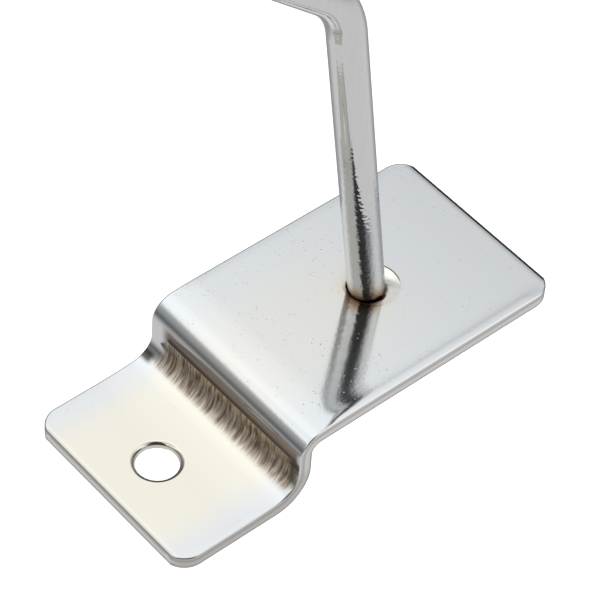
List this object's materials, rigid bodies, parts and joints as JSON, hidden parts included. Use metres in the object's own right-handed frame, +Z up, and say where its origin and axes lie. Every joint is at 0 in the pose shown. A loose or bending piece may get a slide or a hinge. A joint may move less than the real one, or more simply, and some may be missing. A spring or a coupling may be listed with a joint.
{
  "type": "slatwall hook",
  "caption": "Plated steel slatwall hook: a joggled flat back plate with a punched tab that drops behind a slat's lip, and a round wire arm turned up at its tip.",
  "frame": {"origin": "on the wire arm's axis, in the flat back face of the plate that bears on the front of the slat", "axes": "+Z up as the hook hangs, towards the tab; +X across the plate; +Y into the wall, so the arm points along -Y and rises 8.5 degrees"},
  "size_m": [0.03, 0.0775, 0.0623],
  "materials": {
    "plated_sheet": "bright nickel plate over rolled steel sheet, mirror-like with fine pits",
    "plated_wire": "bright nickel plate over drawn steel wire",
    "plated_weld": "plated over an uneven weld, with a brown heat tint"
  },
  "bodies": {
    "root": {"back_plate": "plated_sheet", "hook_arm": "plated_wire", "plug_weld": "plated_weld"}
  },
  "joints": []
}
